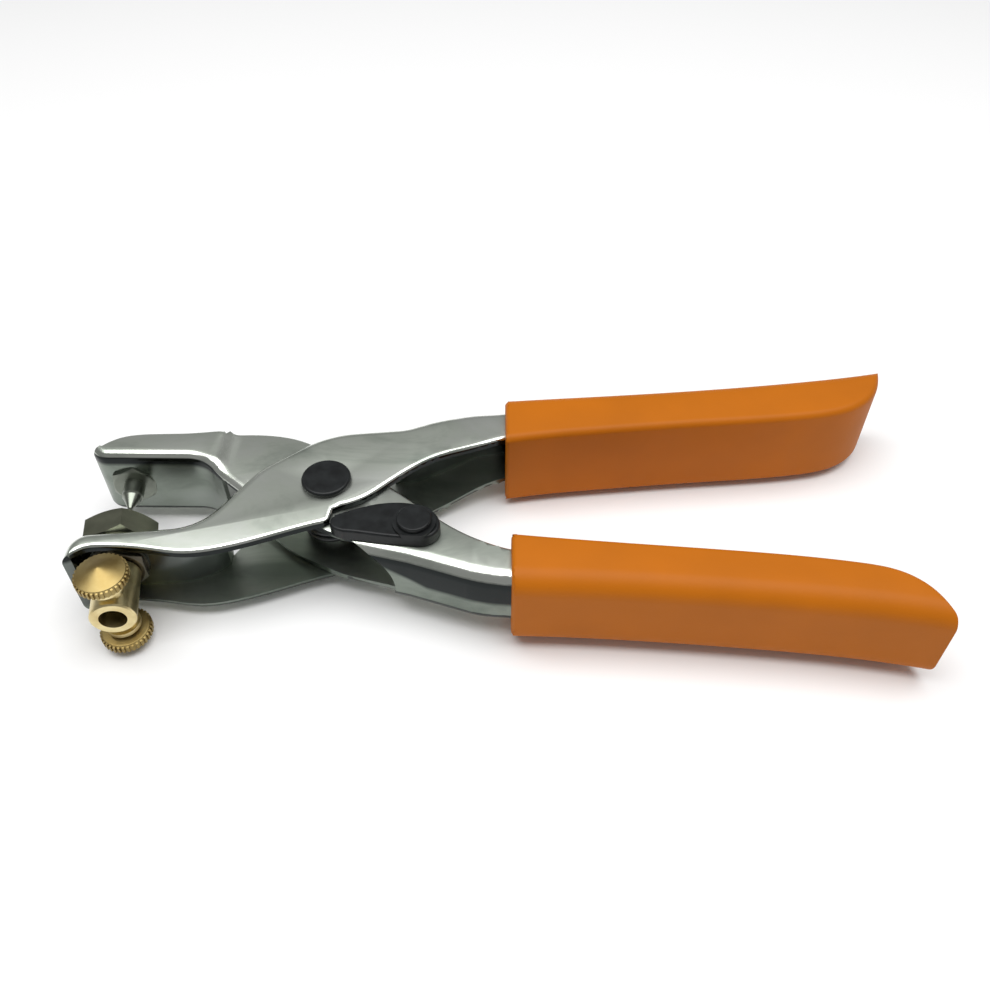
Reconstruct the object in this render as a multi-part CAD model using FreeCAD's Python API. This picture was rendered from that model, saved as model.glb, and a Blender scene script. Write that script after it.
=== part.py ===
"""Hand hole punch in the form of spring pliers: two pressed steel channel levers, a hexagonal die with a
brass slug barrel on one jaw, a pointed punch pin on the other, a thumb lock and two moulded grips.

The model is drawn about the pivot axis (Z) at half thickness, +X towards the handles and +Y towards the
handle of the die lever. Every node is then moved so that the origin is the middle of the tool's
underside."""

import FreeCAD
import Part
import math
import os

V = FreeCAD.Vector
UP = V(0, 0, 1)

# ---- driving dimensions, millimetres and degrees ----
SHEET = 1.8                 # thickness of the pressed steel
GAP = 0.2                   # running gap between the nested flanges
BEND = 3.0                  # outside radius where the web of the die lever turns into a flange
JAW_BEND = 2.2              # the same on the jaw of the pin lever
HANDLE_BEND = 3.6           # the same on the handle of the pin lever
FREE_EDGE = 2.4             # the flanges stop this far short of the web's line where there is no web
DIE_HALF = 10.2             # half width of the die lever over its flanges, jaw and pivot
PIN_HALF = DIE_HALF - SHEET - GAP   # half width of the pin lever where it nests in the die lever
PIN_JAW_HALF = 10.0         # half width of the pin lever at its jaw
HANDLE_HALF = 7.9           # half width of both levers inside the grips
HANDLE_END = 116.0          # where both channels end inside the grips

PIVOT_R = 3.5               # pivot rivet shank
PIVOT_CLEAR = 0.05
RIVET_HEAD_R = 5.75
RIVET_HEAD_H = 1.4

DIE_MOUTH = (-48.7, -7.0)   # centre of the die's working face
DIE_TILT = 10.5             # the die axis leans this far from -Y towards +X
DIE_TURN = 75.0             # angle of one hexagon corner from the die's sideways axis
DIE_FLATS = 16.0
DIE_HEX_H = 6.8
DIE_BORE_R = 2.65
SHANK_R = 4.0               # round shank that the barrel turns on
SHANK_END = 16.0            # from the working face
BARREL_R = 5.0
BARREL_BORE_R = 3.0
BARREL_START = 12.5
BARREL_END = 25.8
KNOB_AT = 21.5              # from the working face to the axis of the two thumb screws
KNOB_R = 5.8
KNOB_TEETH = 34
KNOB_LOW = 8.2              # inner face of the knob above the barrel axis
KNOB_RIM = 2.6              # height of the knurled rim
KNOB_CONE = 2.1             # height of the shallow cone on top
STEM_R = 2.0
STEM_LOW = 3.9

PIN_TIP = (-48.9, 0.4)
PIN_TILT = 6.0              # the punch pin leans this far from -Y towards +X
PIN_R = 2.5
PIN_CONE_R = 2.15
PIN_CONE_H = 3.5
PIN_POINT_R = 0.55          # radius of the blunt point
PIN_LENGTH = 7.7            # from the tip to the hexagon
PIN_FLATS = 10.0
PIN_HEX_H = 1.3
PIN_TURN = 99.0

LOCK_PIVOT = (21.4, -14.2)
LOCK_WASHER_T = 0.3
LOCK_LOW = PIN_HALF + LOCK_WASHER_T
LOCK_T = 2.9                # thickness of the lock lever
LOCK_HEAD_R = 3.9
LOCK_SHANK_R = 2.2

GRIP_HALF = 11.2            # half thickness of the moulded grips


def at(point, z=0.0):
    """A point of the plan at height z."""
    return V(point[0], point[1], z)


def curve(points):
    """A smooth curve through points of the plan."""
    spline = Part.BSplineCurve()
    spline.interpolate([at(p) for p in points])
    return [spline.toShape()]


def beside(corners, distance):
    """The corners of the run that lies distance to the left of a run of (x, y, radius) corners."""
    lines = []
    for p, q in zip(corners, corners[1:]):
        along = (at(q) - at(p)).normalize()
        lines.append((at(p) + V(-along.y, along.x, 0) * distance, along))
    moved = [(lines[0][0].x, lines[0][0].y, 0)]
    for (p, u), (q, v), corner in zip(lines, lines[1:], corners[1:]):
        turn = u.x * v.y - u.y * v.x
        reach = ((q.x - p.x) * v.y - (q.y - p.y) * v.x) / turn
        crossing = p + u * reach
        radius = corner[2] - distance if turn > 0 else corner[2] + distance
        moved.append((crossing.x, crossing.y, radius))
    last = at(corners[-1]) + V(-lines[-1][1].y, lines[-1][1].x, 0) * distance
    return moved + [(last.x, last.y, 0)]


def path(corners):
    """Straight lines through (x, y, radius) corners of the plan, each corner rounded to its radius."""
    edges = []
    last = at(corners[0])
    for before, corner, after in zip(corners, corners[1:], corners[2:]):
        u = (at(corner) - at(before)).normalize()
        v = (at(after) - at(corner)).normalize()
        half = u.getAngle(v) / 2
        start = at(corner) - u * (corner[2] * math.tan(half))
        end = at(corner) + v * (corner[2] * math.tan(half))
        inward = (v - u).normalize()
        middle = at(corner) + inward * (corner[2] / math.cos(half) - corner[2])
        edges.append(Part.LineSegment(last, start).toShape())
        edges.append(Part.Arc(start, middle, end).toShape())
        last = end
    edges.append(Part.LineSegment(last, at(corners[-1])).toShape())
    return edges


def plan_face(run):
    """A flat face inside a closed run of curves, paths and single points, joined by straight lines."""
    edges = []
    first = None
    last = None
    for item in run:
        if isinstance(item, tuple):
            start = at(item)
            end = start
        else:
            start = item[0].valueAt(item[0].FirstParameter)
            end = item[-1].valueAt(item[-1].LastParameter)
        if last is None:
            first = start
        elif last.distanceToPoint(start) > 1e-6:
            edges.append(Part.LineSegment(last, start).toShape())
        if not isinstance(item, tuple):
            edges.extend(item)
        last = end
    edges.append(Part.LineSegment(last, first).toShape())
    return Part.Face(Part.Wire(edges))


def prism(face, low, high):
    """The plan face pulled up from z = low to z = high."""
    moved = face.copy()
    moved.translate(V(0, 0, low))
    return moved.extrude(V(0, 0, high - low))


def side_band(profile, inset=0.0):
    """A solid across all Y whose half height along X follows profile, less inset. Where two heights
    differ, the side eases from one to the other in an S."""
    runs = []
    for sign in (1, -1):
        for (x0, h0), (x1, h1) in zip(profile, profile[1:]):
            start = V(x0, -90, sign * (h0 - inset))
            end = V(x1, -90, sign * (h1 - inset))
            if h0 == h1:
                runs.append(Part.LineSegment(start, end).toShape())
            else:
                ease = Part.BezierCurve()
                middle = (x0 + x1) / 2
                ease.setPoles([start, V(middle, -90, start.z), V(middle, -90, end.z), end])
                runs.append(ease.toShape())
    for x, half in (profile[0], profile[-1]):
        runs.append(Part.LineSegment(V(x, -90, half - inset), V(x, -90, inset - half)).toShape())
    return Part.Face(Part.Wire(Part.__sortEdges__(runs))).extrude(V(0, 180, 0))


def slab(x_low, x_high):
    """Everything between two planes across X."""
    return Part.makeBox(x_high - x_low, 180, 60, V(x_low, -90, -30))


def bend_edges(solid, run):
    """The long edges of solid that lie over a run of the plan."""
    found = []
    line = Part.Wire(run)
    for edge in solid.Edges:
        u = (edge.FirstParameter + edge.LastParameter) / 2
        middle = edge.valueAt(u)
        foot = Part.Vertex(V(middle.x, middle.y, 0))
        level = abs(edge.tangentAt(u).z) < 0.7
        if level and abs(middle.z) > 3 and foot.distToShape(line)[0] < 0.05:
            found.append(edge)
    return found


def half_plate(run, side, low, high):
    """A thick plate on one side of a run of the plan; side is the sign of Y in which it reaches out."""
    start = run[0].valueAt(run[0].FirstParameter)
    end = run[-1].valueAt(run[-1].LastParameter)
    reach = 75.0 * side
    return prism(plan_face([run, (end.x, reach), (start.x, reach)]), low, high)


def channel(web, open_run, side, profile, gap, trim):
    """One pressed lever: two flanges joined by a web along the corners of web. side is the sign of Y on
    which the channel is open. The web is left out inside the solid gap; inside the solid trim the
    flanges stop short of it as well."""
    outer = half_plate(path(web), side, -15, 15).common(side_band(profile))
    if trim is None:
        outer = outer.makeFillet(BEND, bend_edges(outer, path(web)))
    else:
        handle = outer.common(slab(0, 150))
        handle = handle.makeFillet(HANDLE_BEND, bend_edges(handle, path(web)))
        jaw = outer.common(slab(-80, 0))
        jaw = jaw.makeFillet(JAW_BEND, bend_edges(jaw, path(web)))
        outer = jaw.fuse(handle)
    outer = outer.cut(prism(plan_face(open_run + [(-70, 75 * side), (150, 75 * side)]), -15, 15))
    hollow = side_band(profile, SHEET)
    inner_web = path(beside(web, side * SHEET))
    body = outer.cut(half_plate(inner_web, side, -15, 15).common(hollow))
    body = body.cut(gap.common(hollow))
    if trim is not None:
        edge = half_plate(path(beside(web, side * FREE_EDGE)), -side, -15, 15)
        body = body.cut(edge.common(trim))
    return body.common(slab(-80, HANDLE_END)).removeSplitter()


def cylinder(radius, base, axis, length):
    return Part.makeCylinder(radius, length, base, axis)


def ring(outer_r, inner_r, base, axis, length):
    return cylinder(outer_r, base, axis, length).cut(cylinder(inner_r, base, axis, length))


def hexagon(flats, height, base, axis, sideways, turn):
    """A hexagonal prism with both rims chamfered. turn is one corner's angle from sideways."""
    across = axis.cross(sideways)
    radius = flats / 2 / math.cos(math.pi / 6)
    corners = []
    for i in range(7):
        a = math.radians(turn + 60 * i)
        corners.append(base + sideways * (radius * math.cos(a)) + across * (radius * math.sin(a)))
    body = Part.Face(Part.makePolygon(corners)).extrude(axis * height)
    cap = flats / 2 * 0.96
    wide = cap + height / 2 / math.tan(math.radians(30))
    lower = Part.makeCone(cap, wide, height / 2, base, axis)
    upper = Part.makeCone(wide, cap, height / 2, base + axis * (height / 2), axis)
    return body.common(lower.fuse(upper))


# ---- plan curves of the two levers ----
DIE_WEB = [(-55.5, -30.0, 0), (-55.5, -15.6, 5.0), (-27.8, -12.9, 12.0), (-17.0, 5.0, 20.0),
           (-2.0, 17.2, 24.0), (17.5, 19.2, 12.0), (33.5, 26.7, 20.0), (60.0, 30.3, 60.0), (120.0, 35.4, 0)]
DIE_OPEN = [curve([(120.0, 25.0), (90.0, 21.4), (62.0, 18.9), (40.4, 16.4), (30.8, 11.5), (23.7, 7.4),
                   (14.8, -0.2), (8.4, -5.8), (4.2, -7.6)]),
            (2.4, -8.6), (2.0, -11.9),
            curve([(0.6, -12.9), (-10.4, -16.9), (-20.7, -20.5), (-29.2, -21.8), (-38.0, -20.6),
                   (-47.1, -20.0), (-51.2, -20.6), (-53.0, -21.8), (-58.0, -22.8)])]
PIN_WEB = [(-59.3, 24.0, 0), (-59.3, 9.0, 5.0), (-31.6, 8.7, 10.0), (-10.0, -10.4, 30.0),
           (3.0, -17.0, 25.0), (20.0, -21.8, 30.0), (36.0, -27.4, 30.0), (120.0, -35.6, 0)]
PIN_OPEN = [curve([(120.0, -26.2), (90.0, -22.6), (62.0, -20.2), (42.0, -18.2), (33.0, -14.3), (25.0, -8.4),
                   (16.0, -0.6), (7.0, 6.6), (-2.0, 12.8), (-9.0, 16.6), (-18.0, 18.4), (-27.0, 18.2),
                   (-36.0, 17.2), (-46.0, 16.9), (-53.0, 15.4), (-57.6, 11.4), (-61.0, 5.0)])]

DIE_SIDE = [(-80, DIE_HALF), (20, DIE_HALF), (42, HANDLE_HALF), (150, HANDLE_HALF)]
PIN_SIDE = [(-80, PIN_JAW_HALF), (-29.5, PIN_JAW_HALF), (-23.2, PIN_HALF), (34, PIN_HALF),
            (44, HANDLE_HALF), (150, HANDLE_HALF)]
DIE_GAP = slab(-24.0, 13.5)
PIN_ARC = Part.makeCylinder(12.0, 180, V(4.6, -90, -4.0), V(0, 1, 0))    # rounds the end of the near web
PIN_GAP = slab(-26.0, 6.0).fuse(PIN_ARC)
PIN_TRIM = slab(-18.5, 6.0).fuse(PIN_ARC.common(slab(0, 20)))


# ---- plan curves of the grips; each finger side turns up round the tip and runs past the palm side ----
FAR_GRIP_PALM = curve([(30.0, 29.2), (42.0, 30.1), (54.0, 31.1), (66.5, 32.1), (92.6, 34.5), (119.3, 37.8),
                       (134.0, 40.2), (148.0, 43.4)])
FAR_GRIP_FINGERS = curve([(141.0, 54.0), (140.8, 46.0), (139.6, 37.4), (136.4, 30.4), (129.6, 24.9),
                          (119.0, 22.0), (92.0, 19.2), (66.0, 16.6), (50.0, 14.6), (42.0, 13.2),
                          (30.0, 10.8)])
NEAR_GRIP_PALM = curve([(30.0, -30.8), (43.0, -31.2), (54.0, -31.6), (66.5, -32.3), (92.6, -34.4),
                        (119.3, -37.4), (134.0, -40.0), (146.0, -43.0)])
NEAR_GRIP_FINGERS = curve([(135.8, -55.0), (135.8, -46.0), (134.9, -38.8), (132.4, -32.2), (127.2, -27.3),
                           (118.0, -24.5), (92.0, -21.2), (66.0, -18.8), (50.0, -17.2), (43.0, -16.4),
                           (30.0, -14.6)])


def unit(tilt):
    """The axis that leans tilt degrees from -Y towards +X, and the sideways axis square to it."""
    a = math.radians(tilt)
    return V(math.sin(a), -math.cos(a), 0), V(math.cos(a), math.sin(a), 0)


DIE_AXIS, DIE_SIDEWAYS = unit(DIE_TILT)
PIN_AXIS, PIN_SIDEWAYS = unit(PIN_TILT)


def along_die(distance, z=0.0):
    """The point of the die axis that far from the working face, at height z."""
    return at(DIE_MOUTH, z) + DIE_AXIS * distance


def along_pin(distance):
    """The point of the pin axis that far behind the tip."""
    return at(PIN_TIP) - PIN_AXIS * distance


def make_die_lever():
    body = channel(DIE_WEB, DIE_OPEN, -1, DIE_SIDE, DIE_GAP, None)
    body = body.cut(cylinder(PIVOT_R, V(0, 0, -20), UP, 40))
    return body.cut(cylinder(SHANK_R + 0.1, along_die(4), DIE_AXIS, 8))


def make_pin_lever():
    body = channel(PIN_WEB, PIN_OPEN, 1, PIN_SIDE, PIN_GAP, PIN_TRIM)
    body = body.cut(cylinder(PIVOT_R + PIVOT_CLEAR, V(0, 0, -20), UP, 40))
    body = body.cut(cylinder(PIN_R + 0.1, along_pin(6), -PIN_AXIS, 8))
    return body.cut(cylinder(LOCK_SHANK_R, at(LOCK_PIVOT, 0), UP, 20))


def make_pivot_rivet():
    shank = cylinder(PIVOT_R, V(0, 0, -DIE_HALF), UP, 2 * DIE_HALF)
    head = cylinder(RIVET_HEAD_R, V(0, 0, -DIE_HALF - RIVET_HEAD_H), UP, RIVET_HEAD_H)
    head = head.makeFillet(0.6, [e for e in head.Edges if e.BoundBox.ZMax < -DIE_HALF - 1])
    return shank.fuse(head).removeSplitter()


def make_pivot_cap():
    cap = cylinder(RIVET_HEAD_R, V(0, 0, DIE_HALF), UP, RIVET_HEAD_H)
    return cap.makeFillet(0.6, [e for e in cap.Edges if e.BoundBox.ZMin > DIE_HALF + 1])


def make_pivot_spacer():
    inside = PIN_HALF - SHEET
    return ring(5.0, PIVOT_R + PIVOT_CLEAR, V(0, 0, -inside), UP, 2 * inside)


def make_opening_spring():
    """Five turns of round wire about the spacer, and two legs that press the webs of the handles apart."""
    wire_r = 0.8
    coil_r = 6.3
    turns = 5
    pitch = 1.8
    low = -pitch * turns / 2
    helix = Part.makeHelix(pitch, pitch * turns, coil_r)
    helix.translate(V(0, 0, low))
    section = Part.Wire(Part.makeCircle(wire_r, V(coil_r, 0, low), V(0, 1, 0)))
    coil = Part.Wire(helix).makePipeShell([section], True, True)
    far_leg = cylinder(wire_r, V(coil_r, 0, -low), V(0.80, 0.60, 0), 22)
    near_leg = cylinder(wire_r, V(coil_r, 0, low), V(0.78, -0.62, 0), 22)
    return coil.fuse([far_leg, near_leg])


def make_die():
    """Chamfered hexagon, neck down to the jaw and the shank that carries the barrel, bored through."""
    body = hexagon(DIE_FLATS, DIE_HEX_H, along_die(0), DIE_AXIS, DIE_SIDEWAYS, DIE_TURN)
    neck = cylinder(DIE_FLATS / 2 * 0.93, along_die(DIE_HEX_H), DIE_AXIS, 3)
    neck = neck.cut(half_plate(path(DIE_WEB), -1, -15, 15))
    shank = cylinder(SHANK_R, along_die(DIE_HEX_H), DIE_AXIS, SHANK_END - DIE_HEX_H)
    body = body.cut(half_plate(path(DIE_WEB), -1, -15, 15)).fuse([neck, shank])
    return body.cut(cylinder(DIE_BORE_R, along_die(-1), DIE_AXIS, 40))


def make_die_washer():
    """Washer between the jaw and the nut of the die, bedded on the jaw's inner face."""
    jaw = half_plate(path(beside(DIE_WEB, -SHEET)), 1, -15, 15)
    washer = cylinder(6.6, along_die(8.6), DIE_AXIS, 2.3).cut(jaw)
    washer = washer.cut(cylinder(SHANK_R, along_die(0), DIE_AXIS, 30))
    return max(washer.Solids, key=lambda solid: solid.Volume)


def make_die_nut():
    """Thin hexagonal nut that holds the die against the inside of the jaw."""
    nut = hexagon(12.0, 1.5, along_die(10.9), DIE_AXIS, DIE_SIDEWAYS, 30)
    return nut.cut(cylinder(SHANK_R, along_die(0), DIE_AXIS, 30))


def make_barrel():
    length = BARREL_END - BARREL_START
    barrel = cylinder(BARREL_R, along_die(BARREL_START), DIE_AXIS, length)
    barrel = barrel.makeChamfer(0.35, [e for e in barrel.Edges if e.Length < 40 and e.Closed])
    barrel = barrel.cut(cylinder(BARREL_BORE_R, along_die(BARREL_START - 1), DIE_AXIS, length + 2))
    socket = SHANK_END + 0.3 - BARREL_START
    barrel = barrel.cut(cylinder(SHANK_R + 0.05, along_die(BARREL_START), DIE_AXIS, socket))
    for sign in (-1, 1):
        hole = cylinder(STEM_R + 0.05, along_die(KNOB_AT, sign * (STEM_LOW - 0.1)), UP * sign, 6)
        barrel = barrel.cut(hole)
    return barrel


def make_collar(sign):
    """Stepped collar between the barrel and one thumb screw."""
    foot = cylinder(3.0, along_die(KNOB_AT, sign * 3.4), UP * sign, KNOB_LOW - 0.1 - 3.4)
    flange = cylinder(3.9, along_die(KNOB_AT, sign * 6.4), UP * sign, 1.1)
    body = foot.fuse(flange)
    body = body.cut(cylinder(BARREL_R, along_die(BARREL_START), DIE_AXIS, BARREL_END - BARREL_START))
    return body.cut(cylinder(STEM_R + 0.05, along_die(KNOB_AT, sign * 2), UP * sign, 10))


def make_thumb_screw(sign):
    """Knurled disc with a shallow cone, on a plain stem that ends in the barrel's wall."""
    center = along_die(KNOB_AT, sign * KNOB_LOW)
    corners = []
    for i in range(2 * KNOB_TEETH + 1):
        r = KNOB_R if i % 2 else KNOB_R - 0.45
        a = math.pi * i / KNOB_TEETH
        corners.append(center + V(r * math.cos(a), r * math.sin(a), 0))
    rim = Part.Face(Part.makePolygon(corners)).extrude(UP * (sign * KNOB_RIM))
    cone_base = along_die(KNOB_AT, sign * (KNOB_LOW + KNOB_RIM))
    cone = Part.makeCone(KNOB_R - 0.5, 0.5, KNOB_CONE, cone_base, UP * sign)
    stem = cylinder(STEM_R, along_die(KNOB_AT, sign * STEM_LOW), UP * sign, KNOB_LOW - STEM_LOW)
    return rim.fuse([cone, stem])


def make_punch_pin():
    """Hexagon against the jaw, cylinder, cone to a small blunt tip, and a shank through the jaw."""
    cone = Part.makeCone(PIN_POINT_R, PIN_CONE_R, PIN_CONE_H, along_pin(0), -PIN_AXIS)
    step = Part.makeCone(PIN_CONE_R, PIN_R, 0.4, along_pin(PIN_CONE_H), -PIN_AXIS)
    body = cylinder(PIN_R, along_pin(PIN_CONE_H + 0.4), -PIN_AXIS, 13.4 - PIN_CONE_H)
    hexa = hexagon(PIN_FLATS, PIN_HEX_H + 2, along_pin(PIN_LENGTH), -PIN_AXIS, PIN_SIDEWAYS, PIN_TURN)
    seat = hexa.cut(half_plate(path(PIN_WEB), 1, -15, 15))
    return cone.fuse([step, body, seat])


def make_pin_nut():
    """Hexagonal nut on the pin's shank, inside the channel of the jaw."""
    web = half_plate(path(beside(PIN_WEB, SHEET)), -1, -15, 15)
    nut = hexagon(8.0, 2.6, along_pin(10.4), -PIN_AXIS, PIN_SIDEWAYS, 30)
    return nut.cut(web).cut(cylinder(PIN_R, along_pin(0), -PIN_AXIS, 30))


def make_lock_lever():
    """Tapered thumb lever whose nose stands in the notch of the die lever."""
    outline = [curve([(3.4, -11.6), (8.9, -9.3), (13.4, -8.1), (17.6, -7.8), (22.6, -8.8), (26.2, -11.6),
                      (27.1, -15.4), (24.6, -18.3), (20.6, -18.6), (13.8, -17.8), (5.6, -16.6)]),
               curve([(4.2, -16.1), (2.6, -14.6), (2.5, -12.9)])]
    body = prism(plan_face(outline), LOCK_LOW, LOCK_LOW + LOCK_T)
    top = [e for e in body.Edges if e.BoundBox.ZMin > LOCK_LOW + LOCK_T - 0.01]
    body = body.makeFillet(0.6, top)
    boss = cylinder(4.9, at(LOCK_PIVOT, LOCK_LOW + 0.5), UP, LOCK_T + 0.1)
    body = body.fuse(boss.common(prism(plan_face(outline), 0, 20)))
    return body.cut(cylinder(LOCK_SHANK_R + 0.05, at(LOCK_PIVOT), UP, 20))


def make_lock_washer():
    return ring(4.0, LOCK_SHANK_R + 0.05, at(LOCK_PIVOT, PIN_HALF), UP, LOCK_WASHER_T)


def make_lock_rivet():
    """Black rivet: cap over the lever, shank, and an upset foot under the flange of the pin lever."""
    top = LOCK_LOW + LOCK_T + 0.7
    cap = cylinder(LOCK_HEAD_R, at(LOCK_PIVOT, top), UP, 1.1)
    cap = cap.makeFillet(0.4, [e for e in cap.Edges if e.BoundBox.ZMin > top + 1])
    inside = PIN_HALF - SHEET
    shank = cylinder(LOCK_SHANK_R, at(LOCK_PIVOT, inside - 0.8), UP, top - inside + 0.8)
    foot = cylinder(3.4, at(LOCK_PIVOT, inside - 1.0), UP, 1.0)
    return cap.fuse([shank, foot])


def make_grip(palm_side, finger_side, lever, palm, start_x):
    """Moulded sleeve, rounded along its palm side and its finger side, with a pocket for the end of the
    channel. palm is the sign of Y on the palm side."""
    outer = half_plate(palm_side, -palm, -GRIP_HALF, GRIP_HALF)
    outer = outer.makeFillet(5.0, bend_edges(outer, palm_side))
    inner = half_plate(finger_side, palm, -GRIP_HALF, GRIP_HALF)
    inner = inner.makeFillet(1.8, bend_edges(inner, finger_side))
    web, open_run = lever
    plan = prism(plan_face([path(web)] + open_run), -HANDLE_HALF, HANDLE_HALF)
    pocket = plan.common(slab(start_x - 1, HANDLE_END))
    return outer.common(inner).common(slab(start_x, 160)).cut(pocket)


PARTS = {
    "die_lever": make_die_lever(),
    "pin_lever": make_pin_lever(),
    "pivot_rivet": make_pivot_rivet(),
    "pivot_cap": make_pivot_cap(),
    "pivot_spacer": make_pivot_spacer(),
    "opening_spring": make_opening_spring(),
    "die": make_die(),
    "die_washer": make_die_washer(),
    "die_nut": make_die_nut(),
    "barrel": make_barrel(),
    "upper_collar": make_collar(1),
    "lower_collar": make_collar(-1),
    "upper_thumb_screw": make_thumb_screw(1),
    "lower_thumb_screw": make_thumb_screw(-1),
    "punch_pin": make_punch_pin(),
    "pin_nut": make_pin_nut(),
    "lock_lever": make_lock_lever(),
    "lock_washer": make_lock_washer(),
    "lock_rivet": make_lock_rivet(),
    "far_grip": make_grip(FAR_GRIP_PALM, FAR_GRIP_FINGERS, (DIE_WEB, DIE_OPEN), 1, 42.0),
    "near_grip": make_grip(NEAR_GRIP_PALM, NEAR_GRIP_FINGERS, (PIN_WEB, PIN_OPEN), -1, 43.0),
}

whole = Part.makeCompound(list(PARTS.values()))
box = whole.optimalBoundingBox(False, False)
MOVE = V(-(box.XMin + box.XMax) / 2, -(box.YMin + box.YMax) / 2, -box.ZMin)

os.makedirs("parts", exist_ok=True)
for name, shape in PARTS.items():
    print(name, len(shape.Solids), shape.isValid(), round(shape.Volume, 1))
    shape.translated(MOVE).exportStep(f"parts/{name}.step")
print("moved by", [round(c, 4) for c in MOVE], "size", round(box.XLength, 2), round(box.YLength, 2),
      round(box.ZLength, 2))
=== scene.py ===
"""Spring-opening hand hole punch: plated channel levers, brass slug barrel with two thumb screws,
hexagonal die, pointed pin, black thumb lock and orange moulded grips."""

import math

import bpy
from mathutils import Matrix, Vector


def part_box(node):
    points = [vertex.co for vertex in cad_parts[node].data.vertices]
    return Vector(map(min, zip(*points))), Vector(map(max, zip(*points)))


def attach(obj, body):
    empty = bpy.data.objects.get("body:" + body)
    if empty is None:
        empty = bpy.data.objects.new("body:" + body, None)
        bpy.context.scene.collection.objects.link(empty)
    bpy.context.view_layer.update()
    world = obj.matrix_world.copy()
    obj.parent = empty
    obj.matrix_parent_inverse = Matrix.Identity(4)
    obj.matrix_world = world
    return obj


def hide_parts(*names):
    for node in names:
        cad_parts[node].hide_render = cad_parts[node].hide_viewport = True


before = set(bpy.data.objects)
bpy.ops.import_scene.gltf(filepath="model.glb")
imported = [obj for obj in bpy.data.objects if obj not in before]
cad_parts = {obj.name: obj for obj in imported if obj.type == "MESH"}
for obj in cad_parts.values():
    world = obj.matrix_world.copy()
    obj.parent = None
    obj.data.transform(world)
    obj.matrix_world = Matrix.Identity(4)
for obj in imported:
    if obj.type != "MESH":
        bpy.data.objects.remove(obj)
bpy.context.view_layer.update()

# ---- The two levers ---------------------------------------------------------------------------------
# Each lever is one strip of mild steel 1.8 mm thick, blanked, pressed into a channel and barrel plated
# with bright nickel. Blanking rolls the outer edges over, and tumbling leaves the broad faces satin and the
# bends polished. The colour carries painted light: a painted highlight on the bends with a painted dark
# reflection line below it, a web painted darker for its dark reflections, a painted dark band along the
# web, and painted shade inside the channel.

mm = 0.001
pivot_low, pivot_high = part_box("pivot_rivet")
pivot = (pivot_low + pivot_high) / 2
tool_middle_z = (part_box("die_lever")[0].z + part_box("die_lever")[1].z) / 2

satin_nickel = "dfe3dc"
# painted light in the lever colour: a painted bend highlight, a painted dark reflection line, and a web
# painted darker for its dark reflections
painted_bend_highlight = "eceee9"
painted_dark_web = "868c86"
painted_dark_reflection = "2b2e2e"
# painted shade for the inside of the channel
painted_inside_shade = "696e6b"
rolled_edge = 1.1 * mm
notch_clearance = 4.5 * mm

# Where the channels narrow towards the grips, and by how much on each side.
narrows_from = pivot.x + 20 * mm
narrows_to = pivot.x + 42 * mm
narrowed_by = 2.3 * mm
web_bend_starts = 7.2 * mm
web_bend_ends = 8.2 * mm

# The painted dark reflection band along a web: its lower edge falls from one height to the other between
# two places in X.
band_from = pivot.x + 4 * mm
band_to = pivot.x + 24 * mm
band_height_from = 6.8 * mm
band_height_to = -0.6 * mm

cloud_size = 16 * mm
plating_grain = 1.6 * mm


def linear(hex_colour):
    """The linear RGBA of an sRGB hex colour."""
    channels = [int(hex_colour[i:i + 2], 16) / 255 for i in (0, 2, 4)]
    low = [c / 12.92 if c <= 0.04045 else ((c + 0.055) / 1.055) ** 2.4 for c in channels]
    return (*low, 1.0)


def grey(level):
    """A neutral linear RGBA."""
    return (level, level, level, 1.0)


def add_node(material, kind, settings=(), links=()):
    """Adds a node; settings are (input or property, value) pairs and links (input, output socket) pairs."""
    node = material.node_tree.nodes.new(kind)
    for name, value in settings:
        if isinstance(name, int) or name in node.inputs:
            node.inputs[name].default_value = value
        else:
            setattr(node, name, value)
    for name, socket in links:
        material.node_tree.links.new(node.inputs[name], socket)
    return node


def new_material(name):
    """An empty material with its shader: returns the material and the shader node."""
    material = bpy.data.materials.new(name)
    material.use_nodes = True
    return material, material.node_tree.nodes["Principled BSDF"]


def set_ramp(ramp, stops):
    """Puts (position, colour) stops on a colour ramp node."""
    elements = ramp.color_ramp.elements
    while len(elements) > 1:
        elements.remove(elements[-1])
    elements[0].position, elements[0].color = stops[0]
    for position, colour in stops[1:]:
        elements.new(position).color = colour


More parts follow.
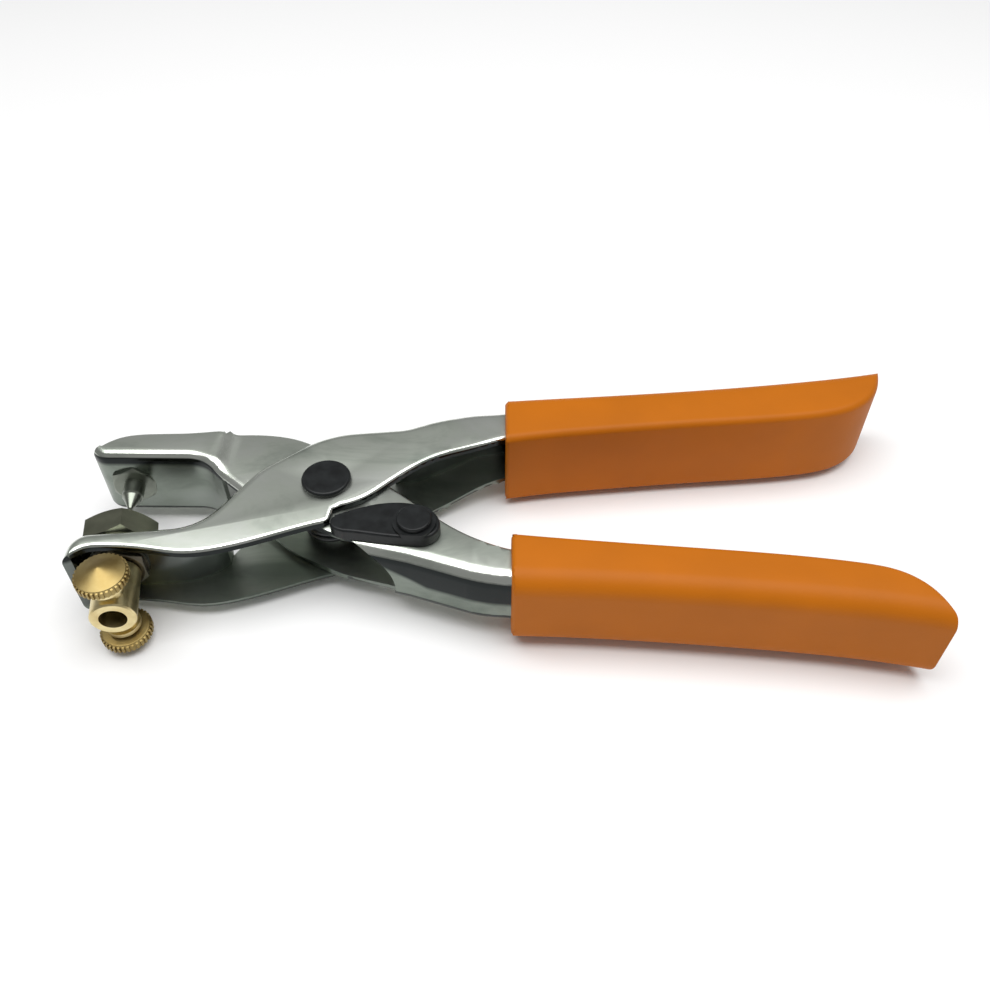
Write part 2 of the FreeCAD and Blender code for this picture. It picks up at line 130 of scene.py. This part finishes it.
def plated_steel(name, inside_sign):
    """Barrel-plated nickel: cloudy satin faces, mirror bends with a painted highlight and a painted dark
    reflection line, a glossy web painted darker for its dark reflections, and painted shade inside the
    channel.
    inside_sign is the sign of Y that the inner face of the web looks towards."""
    material, shader = new_material(name)
    place = add_node(material, "ShaderNodeTexCoord")
    facing = add_node(material, "ShaderNodeSeparateXYZ", (), [(0, place.outputs["Normal"])])
    spot = add_node(material, "ShaderNodeSeparateXYZ", (), [(0, place.outputs["Object"])])
    flatness = add_node(material, "ShaderNodeMath", [("operation", "ABSOLUTE")],
                        [(0, facing.outputs["Z"])])
    height = add_node(material, "ShaderNodeMath", [("operation", "SUBTRACT"), (1, tool_middle_z)],
                      [(0, spot.outputs["Z"])])

    # painted shade inside the channel: faces of the flanges that look at the middle, and the web between
    # them, are darkened
    outward = add_node(material, "ShaderNodeMath", [("operation", "MULTIPLY")],
                       [(0, height.outputs[0]), (1, facing.outputs["Z"])])
    under = add_node(material, "ShaderNodeMapRange",
                     [("From Min", -0.5 * mm), ("From Max", -3.0 * mm), ("To Max", 0.40)],
                     [(0, outward.outputs[0])])
    inner_web = add_node(material, "ShaderNodeMapRange",
                         [("From Min", 0.3 * inside_sign), ("From Max", 0.8 * inside_sign)],
                         [(0, facing.outputs["Y"])])
    level = add_node(material, "ShaderNodeMath", [("operation", "ABSOLUTE")], [(0, height.outputs[0])])
    narrowing = add_node(material, "ShaderNodeMapRange",
                         [("From Min", narrows_from), ("From Max", narrows_to), ("To Max", narrowed_by)],
                         [(0, spot.outputs["X"])])
    depth = add_node(material, "ShaderNodeMath", [("operation", "ADD")],
                     [(0, level.outputs[0]), (1, narrowing.outputs[0])])
    deep = add_node(material, "ShaderNodeMapRange",
                    [("From Min", web_bend_ends), ("From Max", web_bend_starts)], [(0, depth.outputs[0])])
    hidden_web = add_node(material, "ShaderNodeMath", [("operation", "MULTIPLY")],
                          [(0, inner_web.outputs[0]), (1, deep.outputs[0])])
    inside = add_node(material, "ShaderNodeMath", [("operation", "MAXIMUM")],
                      [(0, under.outputs[0]), (1, hidden_web.outputs[0])])

    # the tone goes by how flat a face lies: satin flats, a painted highlight on the upper bend, a painted
    # dark reflection line lower on the bend and a web painted darker for its dark reflections; clouds drift
    # over it
    stretched = add_node(material, "ShaderNodeMapping", [("Scale", (0.45, 1.0, 1.0))],
                         [("Vector", place.outputs["Object"])])
    clouds = add_node(material, "ShaderNodeTexNoise",
                      [("Scale", 1 / cloud_size), ("Detail", 5.0), ("Roughness", 0.6), ("Distortion", 0.6)],
                      [("Vector", stretched.outputs[0])])
    tone = add_node(material, "ShaderNodeValToRGB", (), [(0, flatness.outputs[0])])
    set_ramp(tone, [(0.0, linear(painted_dark_web)), (0.05, linear(painted_dark_web)),
                    (0.12, linear(painted_dark_reflection)), (0.40, linear(painted_dark_reflection)),
                    (0.52, linear(painted_bend_highlight)), (0.90, linear(painted_bend_highlight)),
                    (0.985, linear(satin_nickel))])
    mottle = add_node(material, "ShaderNodeValToRGB", (), [(0, clouds.outputs["Fac"])])
    set_ramp(mottle, [(0.33, linear("b9c0ba")), (0.50, linear("eef1ec")), (0.66, grey(1.0))])
    clouded = add_node(material, "ShaderNodeMix",
                       [("data_type", "RGBA"), ("blend_type", "MULTIPLY"), (0, 1.0)],
                       [(6, tone.outputs[0]), (7, mottle.outputs[0])])

    # a painted dark reflection band along the upper part of the web
    rise = add_node(material, "ShaderNodeMapRange",
                    [("From Min", band_from), ("From Max", band_to),
                     ("To Min", band_height_from), ("To Max", band_height_to)], [(0, spot.outputs["X"])])
    above = add_node(material, "ShaderNodeMath", [("operation", "SUBTRACT")],
                     [(0, height.outputs[0]), (1, rise.outputs[0])])
    band = add_node(material, "ShaderNodeMapRange", [("From Min", -0.8 * mm), ("From Max", 0.4 * mm)],
                    [(0, above.outputs[0])])
    steep = add_node(material, "ShaderNodeMapRange", [("From Min", 0.45), ("From Max", 0.35)],
                     [(0, flatness.outputs[0])])
    handled = add_node(material, "ShaderNodeMath", [("operation", "MULTIPLY")],
                       [(0, band.outputs[0]), (1, steep.outputs[0])])
    banded = add_node(material, "ShaderNodeMix", [("data_type", "RGBA"), (7, linear(painted_dark_reflection))],
                      [(0, handled.outputs[0]), (6, clouded.outputs[2])])
    colour = add_node(material, "ShaderNodeMix", [("data_type", "RGBA"), (7, linear(painted_inside_shade))],
                      [(0, inside.outputs[0]), (6, banded.outputs[2])])

    # polished bends, satin flats and a fine grain
    gloss = add_node(material, "ShaderNodeValToRGB", (), [(0, flatness.outputs[0])])
    set_ramp(gloss, [(0.0, grey(0.22)), (0.10, grey(0.20)), (0.30, grey(0.13)), (0.80, grey(0.15)),
                     (0.97, grey(0.34))])
    wear = add_node(material, "ShaderNodeMapRange", [("To Min", 0.08), ("To Max", -0.08)],
                    [(0, clouds.outputs["Fac"])])
    roughness = add_node(material, "ShaderNodeMath", [("operation", "ADD")],
                         [(0, gloss.outputs[0]), (1, wear.outputs[0])])
    grain = add_node(material, "ShaderNodeTexNoise", [("Scale", 1 / plating_grain), ("Detail", 3.0)],
                     [("Vector", place.outputs["Object"])])
    bump = add_node(material, "ShaderNodeBump", [("Strength", 0.12), ("Distance", 0.05 * mm)],
                    [("Height", grain.outputs["Fac"])])
    shader.inputs["Metallic"].default_value = 1.0
    links = material.node_tree.links
    links.new(shader.inputs["Base Color"], colour.outputs[2])
    links.new(shader.inputs["Roughness"], roughness.outputs[0])
    links.new(shader.inputs["Normal"], bump.outputs[0])
    return material


def start_piece():
    """Deselects everything, ready for a new piece."""
    if bpy.context.object and bpy.context.object.mode != "OBJECT":
        bpy.ops.object.mode_set(mode="OBJECT")
    bpy.ops.object.select_all(action="DESELECT")


def start_from(node):
    """Starts a piece as a merged copy of a CAD node, with its flat faces whole again."""
    start_piece()
    piece = bpy.data.objects.new(node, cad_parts[node].data.copy())
    bpy.context.scene.collection.objects.link(piece)
    bpy.context.view_layer.objects.active = piece
    piece.select_set(True)
    bpy.ops.mesh.customdata_custom_splitnormals_clear()
    bpy.ops.object.mode_set(mode="EDIT")
    bpy.ops.mesh.select_all(action="SELECT")
    bpy.ops.mesh.remove_doubles(threshold=0.001 * mm)
    bpy.ops.mesh.dissolve_limited(angle_limit=math.radians(0.05))
    bpy.ops.mesh.select_all(action="SELECT")
    bpy.ops.mesh.dissolve_degenerate(threshold=0.02 * mm)


def pick(mode, test):
    """In edit mode, selects the edges or faces, by mode "EDGE" or "FACE", that pass a test."""
    bpy.ops.mesh.select_mode(type=mode)
    bpy.ops.mesh.select_all(action="DESELECT")
    bpy.ops.object.mode_set(mode="OBJECT")
    mesh = bpy.context.object.data
    for element in mesh.edges if mode == "EDGE" else mesh.polygons:
        element.select = test(element)
    bpy.ops.object.mode_set(mode="EDIT")


def pick_edges_between(first, second):
    """In edit mode, selects the edges where a face that passes one test meets one that passes the other."""
    bpy.ops.object.mode_set(mode="OBJECT")
    touching = {}
    for face in bpy.context.object.data.polygons:
        for key in face.edge_keys:
            touching.setdefault(key, []).append(face)
    meets = set()
    for key, faces in touching.items():
        if len(faces) == 2:
            one, other = faces
            if first(one) and second(other) or first(other) and second(one):
                meets.add(key)
    bpy.ops.object.mode_set(mode="EDIT")
    pick("EDGE", lambda edge: edge.key in meets)


def finish_piece(name, material, body, nodes, smooth_angle):
    """Names the piece, places it in its mesh, smooths it, ties it to its body and hides the CAD nodes it
    stands for.
    """
    bpy.ops.object.mode_set(mode="OBJECT")
    piece = bpy.context.object
    piece.name = name
    piece.data.name = name
    bpy.ops.object.transform_apply(location=True, rotation=True, scale=True)
    bpy.ops.object.shade_smooth_by_angle(angle=math.radians(smooth_angle))
    piece.data.materials.clear()
    piece.data.materials.append(material)
    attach(piece, body)
    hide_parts(*nodes)


def is_outer_face(face):
    """Whether a face is the broad outside of a flange."""
    return face.normal.z * (face.center.z - tool_middle_z) > 0 and abs(face.normal.z) > 0.9


def pressed_lever(name, node, body, inside_sign, sharp_spots=()):
    """One lever with the outer edges of its flanges rolled over, except round the sharp spots."""

    def is_cut_face(face):
        crowded = any((face.center.xy - spot.xy).length < notch_clearance for spot in sharp_spots)
        return abs(face.normal.z) < 0.3 and not crowded

    start_from(node)
    pick_edges_between(is_outer_face, is_cut_face)
    bpy.ops.mesh.bevel(offset=rolled_edge, segments=4, affect="EDGES", clamp_overlap=False)
    nickel = plated_steel(name + "_nickel", inside_sign)
    finish_piece(name, nickel, body, [node], smooth_angle=40.0)


pressed_lever("die_lever_pressing", "die_lever", "die_half", -1)
lock_notch = pivot + Vector((1.5, -14.5, 0)) * mm
pressed_lever("pin_lever_pressing", "pin_lever", "pin_half", 1, [lock_notch])

# ---- Pivot rivet, spacer, spring and the small nuts ---------------------------------------------------
# The rivet, the spacer tube, the nuts and the washers are plain turned or pressed steel, lightly oiled,
# and the spring is drawn wire. They sit inside the channels and show only at the edges.


def dress(node, material):
    """Gives a CAD node its finish."""
    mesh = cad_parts[node].data
    mesh.materials.clear()
    mesh.materials.append(material)


def turned_steel(name, colour, roughness):
    """Bare steel with fine tool marks and a faint uneven oil film."""
    material, shader = new_material(name)
    place = add_node(material, "ShaderNodeTexCoord")
    film = add_node(material, "ShaderNodeTexNoise", [("Scale", 1 / (3 * mm)), ("Detail", 4.0)],
                    [("Vector", place.outputs["Object"])])
    tone = add_node(material, "ShaderNodeValToRGB", (), [(0, film.outputs["Fac"])])
    pale = linear(colour)
    set_ramp(tone, [(0.3, tuple(c * 0.8 for c in pale[:3]) + (1.0,)), (0.7, pale)])
    uneven = add_node(material, "ShaderNodeMapRange",
                      [("To Min", roughness - 0.06), ("To Max", roughness + 0.08)],
                      [(0, film.outputs["Fac"])])
    bump = add_node(material, "ShaderNodeBump", [("Strength", 0.12), ("Distance", 0.04 * mm)],
                    [("Height", film.outputs["Fac"])])
    shader.inputs["Metallic"].default_value = 1.0
    links = material.node_tree.links
    links.new(shader.inputs["Base Color"], tone.outputs[0])
    links.new(shader.inputs["Roughness"], uneven.outputs[0])
    links.new(shader.inputs["Normal"], bump.outputs[0])
    return material


plain_steel = turned_steel("oiled_plain_steel", "b4b6b4", 0.30)
for node in ("pivot_rivet", "pivot_spacer", "pin_nut", "lock_washer"):
    dress(node, plain_steel)
phosphated = turned_steel("phosphated_nut_steel", "5c574b", 0.36)
dress("die_washer", phosphated)
dress("die_nut", phosphated)
dress("opening_spring", turned_steel("drawn_spring_wire", "4c4d4e", 0.34))

# ---- Punch pin ----------------------------------------------------------------------------------------
# A turned bright steel pin with a hexagonal foot, a short round body and a cone, screwed into the jaw.

dress("punch_pin", turned_steel("turned_bright_steel", "8b9086", 0.30))

# ---- Die ----------------------------------------------------------------------------------------------
# A hexagonal steel die, warm in colour from its thin nickel strike, faced and chamfered in the lathe.

dress("die", turned_steel("nickel_struck_die_steel", "868876", 0.30))

# ---- Slug barrel and collars --------------------------------------------------------------------------
# A tube of turned brass that swivels about the die's shank, and two stepped collars of the same brass.


def turned_brass(name, colour, roughness):
    """Turned brass: warm, bright, with fine feed marks and slight tarnish in patches."""
    material, shader = new_material(name)
    place = add_node(material, "ShaderNodeTexCoord")
    tarnish = add_node(material, "ShaderNodeTexNoise", [("Scale", 1 / (4 * mm)), ("Detail", 3.0)],
                       [("Vector", place.outputs["Object"])])
    tone = add_node(material, "ShaderNodeValToRGB", (), [(0, tarnish.outputs["Fac"])])
    pale = linear(colour)
    set_ramp(tone, [(0.30, (pale[0] * 0.72, pale[1] * 0.66, pale[2] * 0.55, 1.0)), (0.62, pale)])
    uneven = add_node(material, "ShaderNodeMapRange",
                      [("To Min", roughness - 0.05), ("To Max", roughness + 0.10)],
                      [(0, tarnish.outputs["Fac"])])
    bump = add_node(material, "ShaderNodeBump", [("Strength", 0.15), ("Distance", 0.05 * mm)],
                    [("Height", tarnish.outputs["Fac"])])
    shader.inputs["Metallic"].default_value = 1.0
    links = material.node_tree.links
    links.new(shader.inputs["Base Color"], tone.outputs[0])
    links.new(shader.inputs["Roughness"], uneven.outputs[0])
    links.new(shader.inputs["Normal"], bump.outputs[0])
    return material


brass = turned_brass("turned_brass", "e6d7a6", 0.32)
for node in ("barrel", "upper_collar", "lower_collar"):
    dress(node, brass)

# ---- Thumb screws -------------------------------------------------------------------------------------
# Two brass screws with a straight-knurled rim and a shallow polished cone, turned and then knurled.
# Their plain stems end in the wall of the barrel.

knob_teeth = 34
knob_radius = 5.8 * mm
tooth_height = 0.40 * mm
knurl_chamfer = 0.35 * mm
stem_radius = 2.0 * mm
crown_steps = ((0.30, 0.10), (1.80, 0.72), (1.70, 0.62), (1.00, 0.30), (0.40, 0.06))  # mm in, mm up
rim_height = 2.6 * mm
tooth_length = 0.86            # of the rim's height
smallest_cap = 30 * mm ** 2    # the two round ends of the rim are larger than this
polished_brass = turned_brass("polished_brass", "a3905f", 0.42)


def vertex_z(edge, end):
    """The height of one end of an edge."""
    return bpy.context.object.data.vertices[edge.vertices[end]].co.z


def tooth_number(face):
    """Which side face of the knob this is, counted round its axis."""
    turn = math.atan2(face.center.y, face.center.x) / (2 * math.pi)
    return round(turn * 2 * knob_teeth - 0.5)


def thumb_screw(name, node, body, sign):
    """One thumb screw; sign is +1 for the one above the barrel and -1 for the one below."""
    low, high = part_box(node)
    middle = (low + high) / 2
    if sign > 0:
        apex, stem_end = high.z, low.z
    else:
        apex, stem_end = low.z, high.z
    crown_height = sum(step[1] for step in crown_steps) * mm
    rim_top = apex - sign * crown_height
    rim_middle = rim_top - sign * rim_height / 2
    start_piece()
    bpy.ops.mesh.primitive_cylinder_add(vertices=2 * knob_teeth, radius=knob_radius - tooth_height,
                                        depth=rim_height, location=(middle.x, middle.y, rim_middle))
    bpy.ops.object.mode_set(mode="EDIT")
    pick("EDGE", lambda e: abs(vertex_z(e, 0) - vertex_z(e, 1)) < 0.1 * mm)
    bpy.ops.mesh.bevel(offset=knurl_chamfer, segments=2, affect="EDGES")
    pick("FACE", lambda f: abs(f.normal.z) < 0.1 and tooth_number(f) % 2 == 0)
    bpy.ops.mesh.extrude_faces_move(TRANSFORM_OT_shrink_fatten={"value": tooth_height})
    bpy.ops.transform.resize(value=(1, 1, tooth_length), center_override=(middle.x, middle.y, rim_middle))
    pick("FACE", lambda f: f.normal.z * sign > 0.99 and f.area > smallest_cap)
    for inward, up in crown_steps:
        bpy.ops.mesh.inset(thickness=inward * mm, depth=up * mm)
    pick("FACE", lambda f: f.normal.z * sign < -0.99 and f.area > smallest_cap)
    bpy.ops.mesh.inset(thickness=knob_radius - tooth_height - knurl_chamfer - stem_radius)
    stem_length = abs(rim_top - sign * rim_height - stem_end)
    bpy.ops.mesh.extrude_region_move(TRANSFORM_OT_translate={"value": (0, 0, -sign * stem_length)})
    finish_piece(name, polished_brass, body, [node], smooth_angle=28.0)


thumb_screw("upper_thumb_screw_knurled", "upper_thumb_screw", "upper_knob", 1)
thumb_screw("lower_thumb_screw_knurled", "lower_thumb_screw", "lower_knob", -1)

# ---- Thumb lock, its rivet and the pivot cap ----------------------------------------------------------
# The lock lever is a small steel pressing, blacked and oiled like its rivet and the cap of the pivot.
# The finish is nearly black and satin, greyer in patches where it is rubbed.


def black_oxide(name, roughness):
    """Blacked and oiled steel: nearly black, satin, with soft grey wear where fingers rub."""
    material, shader = new_material(name)
    place = add_node(material, "ShaderNodeTexCoord")
    rub = add_node(material, "ShaderNodeTexNoise", [("Scale", 1 / (2.5 * mm)), ("Detail", 5.0)],
                   [("Vector", place.outputs["Object"])])
    tone = add_node(material, "ShaderNodeValToRGB", (), [(0, rub.outputs["Fac"])])
    set_ramp(tone, [(0.35, linear("0d0f10")), (0.7, linear("1a1d1e"))])
    uneven = add_node(material, "ShaderNodeMapRange",
                      [("To Min", roughness - 0.05), ("To Max", roughness + 0.12)],
                      [(0, rub.outputs["Fac"])])
    bump = add_node(material, "ShaderNodeBump", [("Strength", 0.2), ("Distance", 0.04 * mm)],
                    [("Height", rub.outputs["Fac"])])
    shader.inputs["Specular IOR Level"].default_value = 0.3
    links = material.node_tree.links
    links.new(shader.inputs["Base Color"], tone.outputs[0])
    links.new(shader.inputs["Roughness"], uneven.outputs[0])
    links.new(shader.inputs["Normal"], bump.outputs[0])
    return material


blacking = black_oxide("black_oxide", 0.36)
for node in ("pivot_cap", "lock_rivet", "lock_lever"):
    dress(node, blacking)

# ---- Grips --------------------------------------------------------------------------------------------
# Moulded sleeves of soft orange vinyl, pushed over the ends of the levers. The surface is satin with a
# fine moulded grain, and the rim of the open end is rounded.


def moulded_vinyl(name, colour):
    """Plasticised vinyl: saturated, satin, with a fine grain and soft cloudiness."""
    material, shader = new_material(name)
    place = add_node(material, "ShaderNodeTexCoord")
    cloud = add_node(material, "ShaderNodeTexNoise", [("Scale", 1 / (22 * mm)), ("Detail", 3.0)],
                     [("Vector", place.outputs["Object"])])
    tone = add_node(material, "ShaderNodeValToRGB", (), [(0, cloud.outputs["Fac"])])
    pale = linear(colour)
    set_ramp(tone, [(0.3, tuple(c * 0.88 for c in pale[:3]) + (1.0,)), (0.7, pale)])
    grain = add_node(material, "ShaderNodeTexNoise", [("Scale", 1 / (0.8 * mm)), ("Detail", 2.0)],
                     [("Vector", place.outputs["Object"])])
    bump = add_node(material, "ShaderNodeBump", [("Strength", 0.25), ("Distance", 0.08 * mm)],
                    [("Height", grain.outputs["Fac"])])
    shader.inputs["Roughness"].default_value = 0.55
    shader.inputs["IOR"].default_value = 1.53
    shader.inputs["Specular IOR Level"].default_value = 0.2
    links = material.node_tree.links
    links.new(shader.inputs["Base Color"], tone.outputs[0])
    links.new(shader.inputs["Normal"], bump.outputs[0])
    return material


vinyl = moulded_vinyl("moulded_orange_vinyl", "bd6800")
rim_radius = 1.2 * mm
end_slack = 0.05 * mm
skin_depth = 2.0 * mm
skin_height = 9.5 * mm


def grip(name, node, body):
    """A sleeve with the mould's rounded rim at its open end."""
    open_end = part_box(node)[0].x
    start_from(node)
    bpy.ops.object.mode_set(mode="OBJECT")
    sleeve = bpy.context.object.data
    rim_ys = [v.co.y for v in sleeve.vertices if abs(v.co.x - open_end) < end_slack]
    rim_sides = (min(rim_ys), max(rim_ys))
    bpy.ops.object.mode_set(mode="EDIT")

    def is_end_face(face):
        return face.normal.x < -0.99 and abs(face.center.x - open_end) < end_slack

    def is_outer_skin(face):
        ys = [sleeve.vertices[i].co.y for i in face.vertices]
        beside = min(abs(y - side) for y in ys for side in rim_sides) < skin_depth
        above_or_below = abs(face.center.z - tool_middle_z) > skin_height
        return abs(face.normal.x) < 0.5 and (above_or_below or beside)

    pick_edges_between(is_end_face, is_outer_skin)
    bpy.ops.mesh.bevel(offset=rim_radius, segments=4, affect="EDGES", clamp_overlap=False)
    finish_piece(name, vinyl, body, [node], smooth_angle=30.0)


grip("far_grip_sleeve", "far_grip", "die_half")
grip("near_grip_sleeve", "near_grip", "pin_half")

# ---- Floor, light and camera --------------------------------------------------------------------------
# A plain white paper floor, one large soft light overhead, and a dim even room.

start_piece()
bpy.ops.mesh.primitive_plane_add(size=6.0, location=(0, 0, 0))
floor = bpy.context.object
floor.name = "floor"
paper, paper_shader = new_material("white_paper")
paper_shader.inputs["Base Color"].default_value = linear("f4f4f4")
paper_shader.inputs["Roughness"].default_value = 0.9
floor.data.materials.append(paper)


def soft_light(name, place, target, width, height, power):
    """A rectangular soft light at place, facing target."""
    lamp = bpy.data.lights.new(name, "AREA")
    lamp.shape = "RECTANGLE"
    lamp.size = width
    lamp.size_y = height
    lamp.energy = power
    holder = bpy.data.objects.new(name, lamp)
    bpy.context.scene.collection.objects.link(holder)
    holder.location = place
    holder.rotation_euler = (Vector(target) - Vector(place)).to_track_quat("-Z", "Y").to_euler()


soft_light("overhead", place=(0, 0, 0.9), target=(0, 0, 0), width=1.3, height=0.65, power=11)

world = bpy.data.worlds.new("room")
world.use_nodes = True
world.node_tree.nodes["Background"].inputs[0].default_value = grey(1.0)
world.node_tree.nodes["Background"].inputs[1].default_value = 0.27
bpy.context.scene.world = world
bpy.context.scene.view_settings.view_transform = "Standard"

focal_length = 34.545454
camera_right = 39.4 * mm
camera_back = 155.4 * mm
camera_above_cap = 158.9 * mm
camera_tilt = 43.5

lens = bpy.data.cameras.new("camera")
lens.sensor_width = 36.0
lens.lens = focal_length
camera = bpy.data.objects.new("camera", lens)
bpy.context.scene.collection.objects.link(camera)
cap_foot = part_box("pivot_cap")[0].z
camera.location = (pivot.x + camera_right, pivot.y - camera_back, cap_foot + camera_above_cap)
camera.rotation_euler = (math.radians(camera_tilt), 0, 0)
lens.clip_start = 0.01
bpy.context.scene.camera = camera
